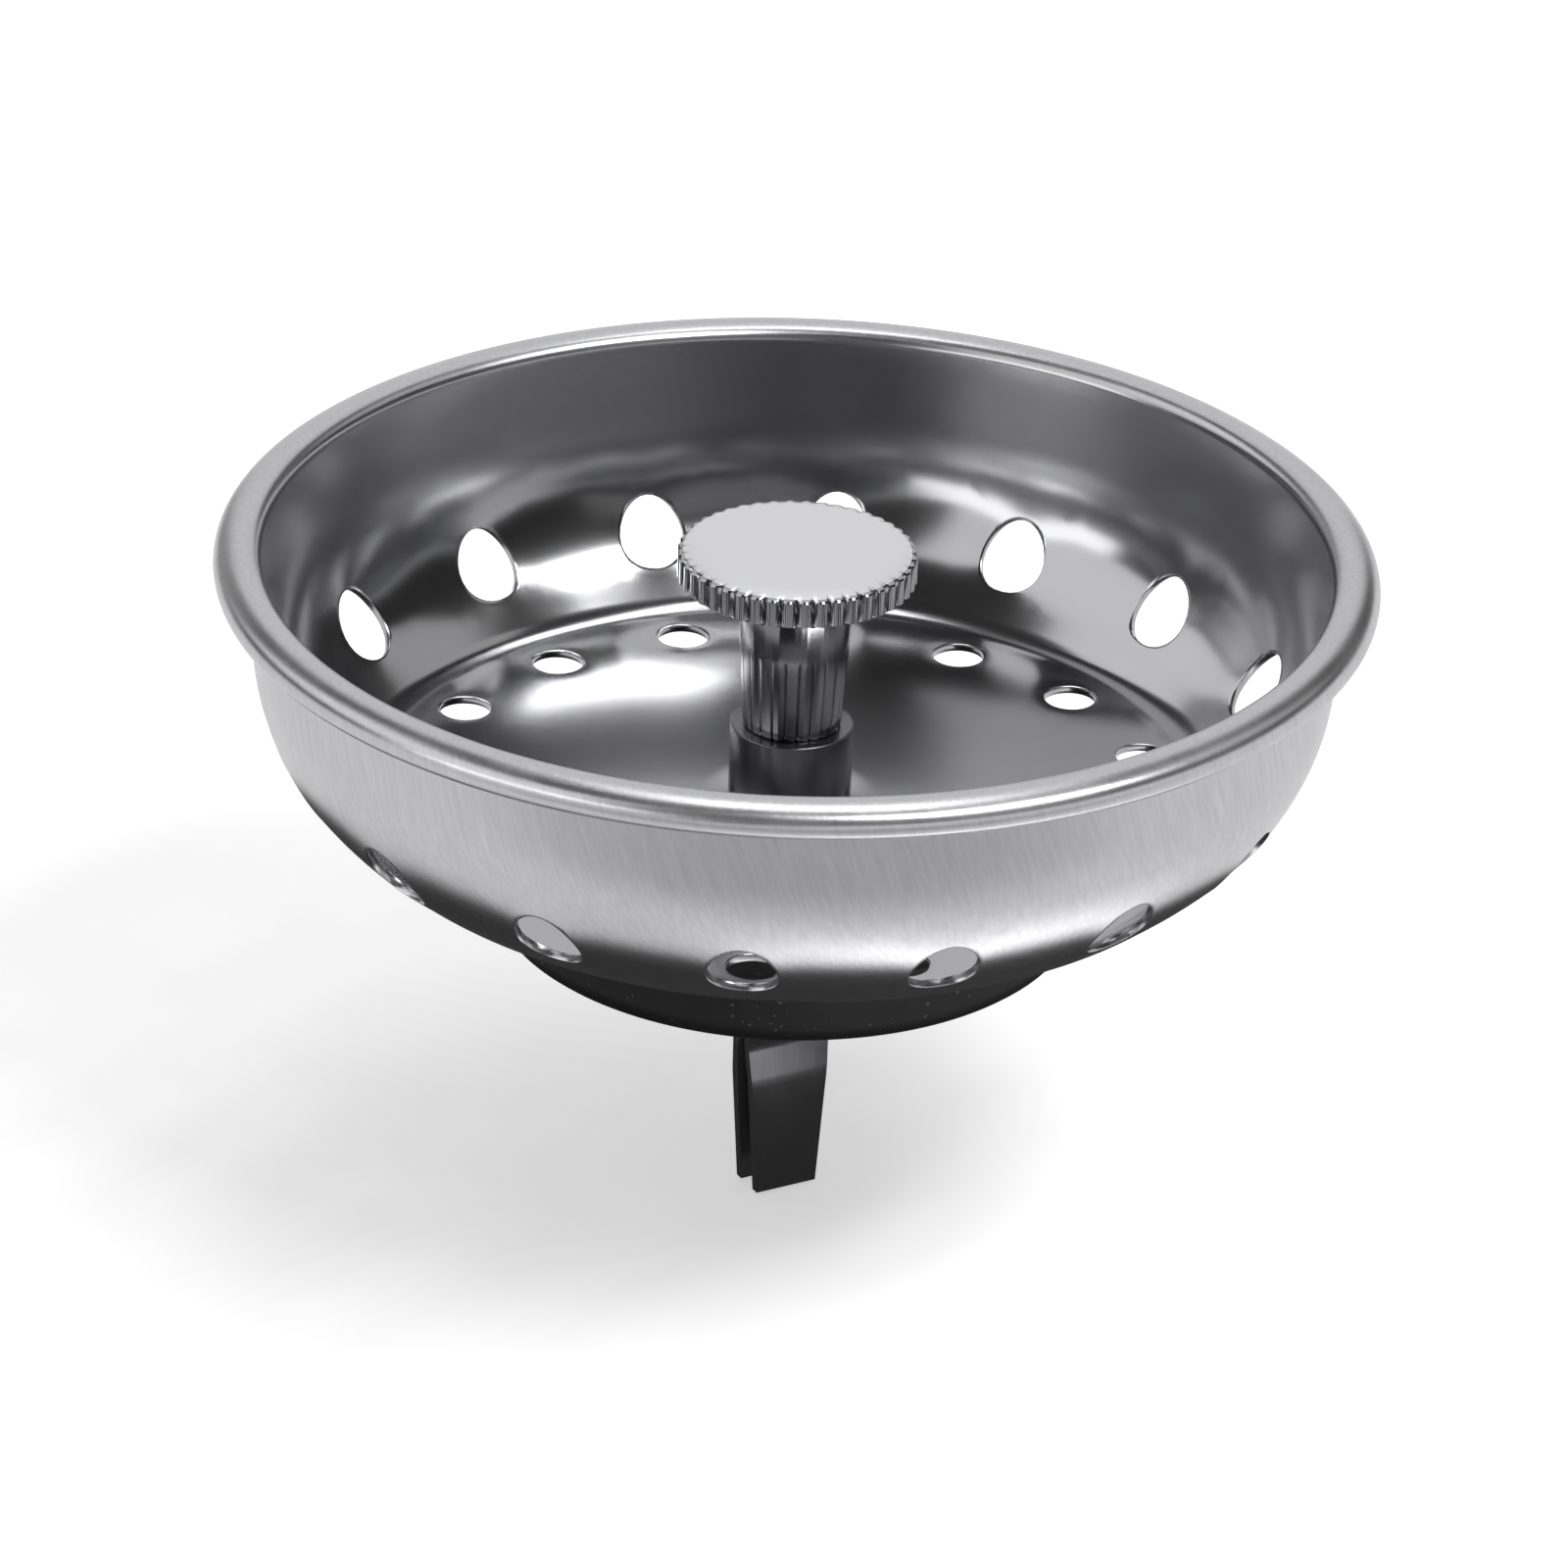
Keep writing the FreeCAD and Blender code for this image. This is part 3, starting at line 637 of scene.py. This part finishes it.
# %% Clamping screw
head_low, head_high, tip_high = -0.3, 2.5, 22.1
head_reach, shank = 4.1, 2.0
bpy.ops.mesh.primitive_cylinder_add(
    vertices=96, radius=head_reach * MM, depth=(head_high - head_low) * MM,
    location=(0, 0, (head_low + head_high) / 2 * MM))
screw = begin("hex_screw")
pick("EDGE", lambda middle, way: middle.z < head_low + 0.01 and out(middle) > 4)
bpy.ops.mesh.bevel(offset=0.75 * MM, segments=1, affect="EDGES", offset_type="OFFSET")
pick("VERT", lambda middle, way: head_low + 0.01 < middle.z < head_low + 1.0)
bpy.ops.transform.translate(value=(0, 0, -0.35 * MM))
pick("FACE", lambda middle, way: way.z > 0.9)
bpy.ops.mesh.inset(thickness=(head_reach - shank) * MM)
raise_face(tip_high - head_high - 0.4)
raise_face(0.4, 0.8)
close_up(screw)
flats = 7.0
bpy.ops.mesh.primitive_cylinder_add(vertices=6, radius=flats / 2 / math.cos(math.pi / 6) * MM, depth=60 * MM)
bar = begin("hexagon_bar")
bpy.ops.mesh.select_all(action="SELECT")
bpy.ops.transform.rotate(value=math.pi / 6, orient_axis="Z", center_override=(0, 0, 0))
bpy.ops.object.mode_set(mode="OBJECT")
modify(screw, "BOOLEAN", object=bar, operation="INTERSECT", solver="EXACT")
bpy.data.objects.remove(bar)
close_up(screw)
screw.data.materials.clear()
screw.data.materials.append(zinc)
fit(screw, "clamp_screw", "strainer")

# %% [markdown]
# ## Black rubber
# The stopper is moulded in black rubber: near black, matt, with a slight sheen at a low angle, a fine grain
# from the mould and a little grey dust. Dust is noise cut off high, so that only its peaks show as small
# pale specks.

# %% Rubber finish
rubber, rubber_tree, rubber_place = new_finish("moulded_black_rubber")
mould_grain = add_node(rubber_tree, "TexNoise", {
    "Vector": rubber_place, "Scale": per_mm(0.2), "Detail": 3.0}).outputs["Fac"]
bloom = add_node(rubber_tree, "TexNoise", {
    "Vector": rubber_place, "Scale": per_mm(6.0), "Detail": 3.0}).outputs["Fac"]
dust = add_node(rubber_tree, "TexNoise", {
    "Vector": rubber_place, "Scale": per_mm(0.5), "Detail": 1.0}).outputs["Fac"]
dust_peaks = add_node(rubber_tree, "MapRange", {
    "Value": dust, "From Min": 0.70, "From Max": 0.78, "To Min": 0.0, "To Max": 0.5}).outputs["Result"]
rubber_shade = add_node(rubber_tree, "MixRGB", {
    "Fac": bloom, "Color1": linear("0B0B0B"), "Color2": linear("171718")}).outputs[0]
dusty_shade = add_node(rubber_tree, "MixRGB", {
    "Fac": dust_peaks, "Color1": rubber_shade, "Color2": linear("77777A")}).outputs[0]
rubber_rough = add_node(rubber_tree, "MapRange", {
    "Value": bloom, "To Min": 0.42, "To Max": 0.6}).outputs["Result"]
rubber_bump = add_node(rubber_tree, "Bump", {
    "Height": mould_grain, "Strength": 0.2, "Distance": 0.04 * MM}).outputs[0]
rubber_skin = add_node(rubber_tree, "BsdfPrincipled", {
    "Base Color": dusty_shade, "Roughness": rubber_rough, "Specular IOR Level": 0.25, "Normal": rubber_bump})
add_node(rubber_tree, "OutputMaterial", {"Surface": rubber_skin.outputs[0]})
print("finish:", rubber.name)

# %% [markdown]
# ## The stopper
# The stopper is a thick disc with a rounded lower edge that seals on the drain's seat, and a recess
# underneath for the washer and the clip. The lower face of a cylinder is inset, raised into the recess,
# inset again and bridged through to the top, and the edges are then bevelled. A low ridge round its side is
# the parting line that every such moulding keeps.

# %% Rubber stopper
stopper_radius, stopper_high, recess, recess_high = 21.4, 8.7, 9.0, 4.2
bpy.ops.mesh.primitive_cylinder_add(
    vertices=160, radius=stopper_radius * MM, depth=stopper_high * MM, location=(0, 0, stopper_high / 2 * MM))
stopper = begin("rubber_plug")
pick("FACE", lambda middle, way: way.z < -0.9)
bpy.ops.mesh.inset(thickness=(stopper_radius - recess) * MM)
raise_face(recess_high)
bpy.ops.mesh.inset(thickness=(recess - screw_hole) * MM)
pick("FACE", lambda middle, way: way.z > 0.9)
bpy.ops.mesh.inset(thickness=(stopper_radius - screw_hole) * MM)
pick("FACE", lambda middle, way: abs(way.z) > 0.9 and out(middle) < 0.1)
bpy.ops.mesh.bridge_edge_loops()
parting_line, parting_ridge = 5.75, 1.004
for height in (parting_line - 0.15, parting_line, parting_line + 0.15):
    bpy.ops.mesh.select_all(action="SELECT")
    bpy.ops.mesh.bisect(plane_co=(0, 0, height * MM), plane_no=(0, 0, 1))
pick("VERT", lambda middle, way: abs(middle.z - parting_line) < 0.01 and out(middle) > 20)
bpy.ops.transform.resize(value=(parting_ridge, parting_ridge, 1), center_override=(0, 0, 0))
pick("EDGE", lambda middle, way: middle.z < 0.01 and out(middle) > 20)
bpy.ops.mesh.bevel(offset=2.0 * MM, segments=8, affect="EDGES")
pick("EDGE", lambda middle, way: abs(way.z) < 0.1 and middle.z > 8.6 and out(middle) > 20)
bpy.ops.mesh.bevel(offset=0.35 * MM, segments=3, affect="EDGES")
pick("EDGE", lambda middle, way: abs(way.z) < 0.1 and middle.z < 0.01 and abs(out(middle) - recess) < 0.1)
bpy.ops.mesh.bevel(offset=0.3 * MM, segments=3, affect="EDGES")
close_up(stopper)
stopper.data.materials.append(rubber)
fit(stopper, "rubber_stopper", "strainer")

# %% [markdown]
# ## Spring steel
# The clip is rolled spring strip, smooth and a little darker than the bowl, with the faint lines of the
# rolls along it. It hangs in the bowl's shadow, so most of what it mirrors is dark.

# %% Spring steel finish
spring, spring_tree, spring_place = new_finish("rolled_spring_steel")
rolled_at = add_node(spring_tree, "Mapping", {"Vector": spring_place, "Scale": (1, 0.15, 0.05)}).outputs[0]
rolled = add_node(spring_tree, "TexNoise", {
    "Vector": rolled_at, "Scale": per_mm(0.25), "Detail": 3.0}).outputs["Fac"]
worn = add_node(spring_tree, "TexNoise", {
    "Vector": spring_place, "Scale": per_mm(2.0), "Detail": 4.0}).outputs["Fac"]
spring_rough = add_node(spring_tree, "MapRange", {
    "Value": worn, "From Min": 0.3, "From Max": 0.7, "To Min": 0.23, "To Max": 0.265}).outputs["Result"]
spring_shade = add_node(spring_tree, "MixRGB", {
    "Fac": rolled, "Color1": linear("A0A0A3"), "Color2": linear("B8B8BB")}).outputs[0]
spring_bump = add_node(spring_tree, "Bump", {
    "Height": rolled, "Strength": 0.12, "Distance": 0.02 * MM}).outputs[0]
spring_metal = add_node(spring_tree, "BsdfPrincipled", {
    "Base Color": spring_shade, "Metallic": 1.0, "Roughness": spring_rough, "Normal": spring_bump})
add_node(spring_tree, "OutputMaterial", {"Surface": spring_metal.outputs[0]})
print("finish:", spring.name)

# %% [markdown]
# ## The spring clip
# On the real object the clip is one strip bent over the screw: a bridge under the washer and two legs that
# squeeze together to enter the drain's cross-bar. The legs flex, so each rides on its own body. A plane is
# the outer face of the strip. Its end edge is extruded from bend to bend, the bends are bevelled round, and
# Solidify adds the gauge. The hinge of each leg stands in for the strip's bending, so a hairline stays open
# between cheek and leg.

# %% Bridge
strip_gauge, strip_half, cheek, bridge_high, cheek_low = 0.7, 4.0, 4.3, 3.2, -0.55
bpy.ops.mesh.primitive_plane_add(size=2 * cheek * MM, location=(0, 0, bridge_high * MM))
bpy.context.object.scale.x = strip_half / cheek
bridge = begin("clip_bridge_strap")
pick("EDGE", lambda middle, way: abs(middle.y) > cheek - 0.01)
bpy.ops.mesh.extrude_edges_move(TRANSFORM_OT_translate={"value": (0, 0, (cheek_low - bridge_high) * MM)})
pick("EDGE", lambda middle, way: abs(way.x) > 0.9 and middle.z > bridge_high - 0.01)
bpy.ops.mesh.bevel(offset=0.5 * MM, segments=5, affect="EDGES")
bpy.ops.mesh.select_all(action="SELECT")
bpy.ops.mesh.normals_make_consistent(inside=False)
bpy.ops.object.mode_set(mode="OBJECT")
modify(bridge, "SOLIDIFY", thickness=strip_gauge * MM, offset=-1.0, use_even_offset=True)
bpy.ops.mesh.primitive_cylinder_add(
    vertices=64, radius=screw_hole * MM, depth=4 * MM, location=(0, 0, bridge_high * MM))
drill = begin("drill")
bpy.ops.object.mode_set(mode="OBJECT")
modify(bridge, "BOOLEAN", object=drill, operation="DIFFERENCE", solver="EXACT")
bpy.data.objects.remove(drill)
modify(bridge, "BEVEL", width=0.09 * MM, segments=2, limit_method="ANGLE", angle_limit=math.radians(60))
close_up(bridge)
bridge.data.materials.clear()
bridge.data.materials.append(spring)
fit(bridge, "clip_bridge", "strainer")

# %% [markdown]
# A leg runs inwards to a waist that grips the cross-bar, out again at a barb, and straight down to its
# tail, and it narrows all the way. The first bend stands where the real strip leaves the cheek. One leg is
# modelled and mirrored.

# %% Legs, one modelled and one copied
leg_high, leg_low, tail_half = -0.58, -22.0, 2.425
leg_path = [(4.3, -1.08), (1.175, -10.0), (1.55, -13.0), (1.55, leg_low)]


def half_width(height):
    """Half the strip's width: it narrows evenly to its tail."""
    return strip_half + (tail_half - strip_half) * (leg_high - height) / (leg_high - leg_low)


bpy.ops.mesh.primitive_plane_add(size=1 * MM, location=(0, -leg_path[0][0] * MM, leg_high * MM))
front_leg = begin("clip_leg_front_strip")
pick("VERT", lambda middle, way: middle.y > -leg_path[0][0])
bpy.ops.mesh.delete(type="VERT")
pick("VERT", lambda middle, way: True)
bpy.ops.transform.resize(value=(2 * half_width(leg_high), 0, 1), center_override=(0, -leg_path[0][0] * MM, 0))
at = (leg_path[0][0], leg_high)
for spread, height in leg_path:
    pick("EDGE", lambda middle, way: abs(middle.z - at[1]) < 0.01 and abs(way.x) > 0.9)
    bpy.ops.mesh.extrude_edges_move(TRANSFORM_OT_translate={
        "value": (0, (at[0] - spread) * MM, (height - at[1]) * MM)})
    narrow = half_width(height) / half_width(at[1])
    bpy.ops.transform.resize(value=(narrow, 1, 1), center_override=(0, 0, 0))
    at = (spread, height)
pick("EDGE", lambda middle, way: abs(way.x) > 0.9 and leg_low + 1 < middle.z < leg_high - 1)
bpy.ops.mesh.bevel(offset=0.45 * MM, segments=4, affect="EDGES")
pick("EDGE", lambda middle, way: abs(way.x) > 0.9 and abs(middle.z - leg_path[0][1]) < 0.05)
bpy.ops.mesh.bevel(offset=0.3 * MM, segments=3, affect="EDGES")
bpy.ops.mesh.select_all(action="SELECT")
bpy.ops.mesh.remove_doubles(threshold=0.002 * MM)
bpy.ops.object.mode_set(mode="OBJECT")
front_leg.data.update()
if front_leg.data.polygons[0].normal.y > 0:
    front_leg.data.flip_normals()
modify(front_leg, "SOLIDIFY", thickness=strip_gauge * MM, offset=-1.0, use_even_offset=True)
modify(front_leg, "BEVEL", width=0.06 * MM, segments=2, limit_method="ANGLE", angle_limit=math.radians(60))
close_up(front_leg)
front_leg.data.materials.append(spring)

only(front_leg)
bpy.ops.object.duplicate()
rear_leg = bpy.context.object
rear_leg.name = rear_leg.data.name = "clip_leg_rear_strip"
rear_leg.scale.y = -1
bpy.ops.object.transform_apply(location=True, rotation=True, scale=True)
close_up(rear_leg)
fit(front_leg, "clip_leg_front", "front_leg")
fit(rear_leg, "clip_leg_rear", "rear_leg")

# %% [markdown]
# ## The studio
# The photograph is a catalogue cut-out: white all round, with soft light from above. The floor is matt
# white paper. It takes the light and the shadow as any paper does, and it also glows a little for the
# camera and for reflections, more so further out where the lamps fade, so that it stays white. From below
# it is clear, so that the underside can be looked at.

# %% White paper floor
scene = bpy.context.scene
scene.view_settings.view_transform = "Standard"
paper_height = -22.2
bpy.ops.mesh.primitive_plane_add(size=6, location=(0, 0, paper_height * MM))
studio_floor = bpy.context.object
studio_floor.name = "studio_floor"
paper, paper_tree, paper_place = new_finish("white_paper")
rays = add_node(paper_tree, "LightPath", {}).outputs
seen = add_node(paper_tree, "Math", {0: rays["Is Camera Ray"], 1: rays["Is Glossy Ray"]}, operation="MAXIMUM")
shown = add_node(paper_tree, "Math", {
    0: seen.outputs[0], 1: rays["Is Transmission Ray"]}, operation="MAXIMUM").outputs[0]
away = add_node(paper_tree, "VectorMath", {0: paper_place}, operation="LENGTH").outputs["Value"]
fade = add_node(paper_tree, "MapRange", {
    "Value": away, "From Min": 80 * MM, "From Max": 260 * MM, "To Min": 0.5},
    interpolation_type="SMOOTHSTEP").outputs["Result"]
glow_level = add_node(paper_tree, "Math", {0: shown, 1: fade}, operation="MULTIPLY").outputs[0]
glow = add_node(paper_tree, "Emission", {"Color": (1, 1, 1, 1), "Strength": glow_level}).outputs[0]
matt = add_node(paper_tree, "BsdfDiffuse", {"Color": linear("F4F4F4")}).outputs[0]
lit = add_node(paper_tree, "AddShader", {0: glow, 1: matt}).outputs[0]
clear = add_node(paper_tree, "BsdfTransparent", {}).outputs[0]
underside = add_node(paper_tree, "NewGeometry", {}).outputs["Backfacing"]
one_sided = add_node(paper_tree, "MixShader", {0: underside, 1: lit, 2: clear}).outputs[0]
add_node(paper_tree, "OutputMaterial", {"Surface": one_sided})
studio_floor.data.materials.append(paper)
print("paper", round(leg_low - paper_height, 2), "mm under the clip")

# %% [markdown]
# The surroundings are white to the camera and to reflections, and a dim even light to everything else.

# %% White surroundings
world = bpy.data.worlds.new("white_surroundings")
scene.world = world
world.use_nodes = True
air = world.node_tree
air.nodes.clear()
air_rays = add_node(air, "LightPath", {}).outputs
air_seen = add_node(air, "Math", {
    0: air_rays["Is Camera Ray"], 1: air_rays["Is Glossy Ray"]}, operation="MAXIMUM").outputs[0]
air_shown = add_node(air, "Math", {
    0: air_seen, 1: air_rays["Is Transmission Ray"]}, operation="MAXIMUM").outputs[0]
air_level = add_node(air, "MapRange", {"Value": air_shown, "To Min": 0.3, "To Max": 1.0}).outputs["Result"]
sky = add_node(air, "Background", {"Color": (1, 1, 1, 1), "Strength": air_level}).outputs[0]
add_node(air, "OutputWorld", {"Surface": sky})
print("surroundings:", world.name)

# %% [markdown]
# Polished steel shows its surroundings more than its own colour, so a photographer of metal hangs cards
# round it. Black cloth above and on both sides darkens the room in the reflections. Pale cards in front of
# it then draw the lights of the photograph: those on the left give the bright patches in the bowl, those
# behind give the knob's top and the rim, and a grey one at the front lifts the wall. They are parts of a
# large ball round the bowl that only reflections see.

# %% Cards
camera_side = math.atan2(camera_place.y, camera_place.x)


def hang(piece, tone):
    """Lets only reflections see this card. Its tone is a function of its node tree and coordinates."""
    piece.visible_camera = piece.visible_diffuse = piece.visible_shadow = piece.visible_transmission = False
    finish, tree, place = new_finish(piece.name + "_tone")
    shine = add_node(tree, "Emission", {"Color": (1, 1, 1, 1), "Strength": tone(tree, place)}).outputs[0]
    add_node(tree, "OutputMaterial", {"Surface": shine})
    finish.cycles.emission_sampling = "NONE"
    piece.data.materials.append(finish)


def card(name, turns, rises, tone, distance=1500):
    """A card between these angles, in degrees to the camera's right and above the horizon."""
    bpy.ops.mesh.primitive_uv_sphere_add(
        segments=72, ring_count=36, radius=distance * MM, rotation=(0, 0, camera_side))
    piece = begin(name)

    def outside(middle, way):
        turn = (math.degrees(math.atan2(middle.y, middle.x) - camera_side) - turns[0]) % 360
        rise = math.degrees(math.asin(middle.z / middle.length))
        return turn > turns[1] - turns[0] or not rises[0] < rise < rises[1]

    pick("FACE", outside)
    bpy.ops.mesh.delete(type="FACE")
    bpy.ops.object.mode_set(mode="OBJECT")
    hang(piece, lambda tree, place: tone)


black_cloth = 0.03
card("black_cloth_above", (-180, 180), (35, 90), black_cloth, 1600)
card("black_cloth_left", (-160, 0), (0, 35), black_cloth, 1600)
card("black_cloth_right", (0, 160), (10, 35), black_cloth, 1600)
card("left_card", (-130, -35), (20, 55), 1.15)
card("left_low_card", (-75, -25), (5, 20), 2.4)
card("front_card", (-15, 50), (15, 33), 0.2)
card("right_back_card", (110, 135), (30, 55), 0.6)
card("back_card", (160, 200), (0, 40), 0.85)
card("left_back_card", (-160, -130), (0, 30), 0.35)
card("back_upper_card", (160, 200), (40, 60), 0.9)
card("key_upper_card", (15, 50), (65, 75), 3.0)

# %% [markdown]
# The steel also mirrors the paper under it, which is dark in the bowl's own shadow. A card just above the
# paper gives that to the reflections alone: dark under the bowl and close behind it, light round that,
# greyer further in front, and lightest where the key lamp falls.

# %% Floor card
def from_camera(turn, rise, distance):
    """A point at this many degrees to the camera's right and above the horizon, seen from the bowl."""
    angle, lift = camera_side + math.radians(turn), math.radians(rise)
    level = distance * math.cos(lift)
    return Vector((level * math.cos(angle), level * math.sin(angle), distance * math.sin(lift)))


def floor_tone(tree, place):
    """The floor card's tone, from distances in mm to the shadow's centre and along two directions."""
    shadow_centre = from_camera(200, 0, 15) * MM
    spread = add_node(tree, "VectorMath", {0: place, 1: shadow_centre}, operation="DISTANCE").outputs["Value"]
    ahead = add_node(tree, "VectorMath", {
        0: place, 1: from_camera(5, 0, 1)}, operation="DOT_PRODUCT").outputs["Value"]
    lampward = add_node(tree, "VectorMath", {
        0: place, 1: from_camera(32, 0, 1)}, operation="DOT_PRODUCT").outputs["Value"]
    tones = []
    for value, start, end, low, high in (
            (spread, 55, 63, 0.04, 0.92),       # dark in the shadow, light round it
            (ahead, 58, 105, 1.0, 0.55),        # greyer further in front
            (lampward, 34, 46, 0.0, 1.4),       # lightest towards the lamp,
            (spread, 64, 82, 1.0, 0.0),         # but only close by
            (spread, 150, 250, 0.0, 0.85)):     # pale far away
        tones.append(add_node(tree, "MapRange", {
            "Value": value, "From Min": start * MM, "From Max": end * MM, "To Min": low, "To Max": high},
            interpolation_type="SMOOTHSTEP").outputs["Result"])
    light_round, greyer_ahead, lamp_side, close_by, far_pale = tones
    lamp_fall = add_node(tree, "Math", {0: lamp_side, 1: close_by}, operation="MULTIPLY").outputs[0]
    near = add_node(tree, "Math", {
        0: light_round, 1: greyer_ahead, 2: lamp_fall}, operation="MULTIPLY_ADD").outputs[0]
    return add_node(tree, "Math", {0: near, 1: far_pale}, operation="MAXIMUM").outputs[0]


bpy.ops.mesh.primitive_circle_add(vertices=96, radius=1.49, fill_type="NGON", location=(0, 0, 0))
begin("floor_card")
bpy.ops.transform.translate(value=(0, 0, (paper_height + 0.1) * MM))
bpy.ops.object.mode_set(mode="OBJECT")
hang(bpy.context.object, floor_tone)
print("floor card of", round(bpy.context.object.dimensions.x, 2), "m")

# %% [markdown]
# Two soft boxes light the bowl from above: a wide one over the camera's right shoulder, and one behind the
# bowl.

# %% Lamps
def soft_box(name, turn, rise, distance, width, height, watts):
    """A rectangular lamp at an angle and distance in mm from the bowl, turned to face it."""
    bpy.ops.object.light_add(type="AREA", location=from_camera(turn, rise, distance) * MM)
    lamp = bpy.context.object
    lamp.name = name
    lamp.data.shape = "RECTANGLE"
    lamp.data.size = width * MM
    lamp.data.size_y = height * MM
    lamp.data.energy = watts
    lamp.rotation_euler = (Vector((0, 0, 10 * MM)) - lamp.location).to_track_quat("-Z", "Y").to_euler()
    print(name, "at", [round(x / MM) for x in lamp.location], "mm")


soft_box("key_soft_box", 52, 57, 620, 380, 175, 2.4)
soft_box("back_soft_box", 175, 72, 700, 250, 250, 0.8)
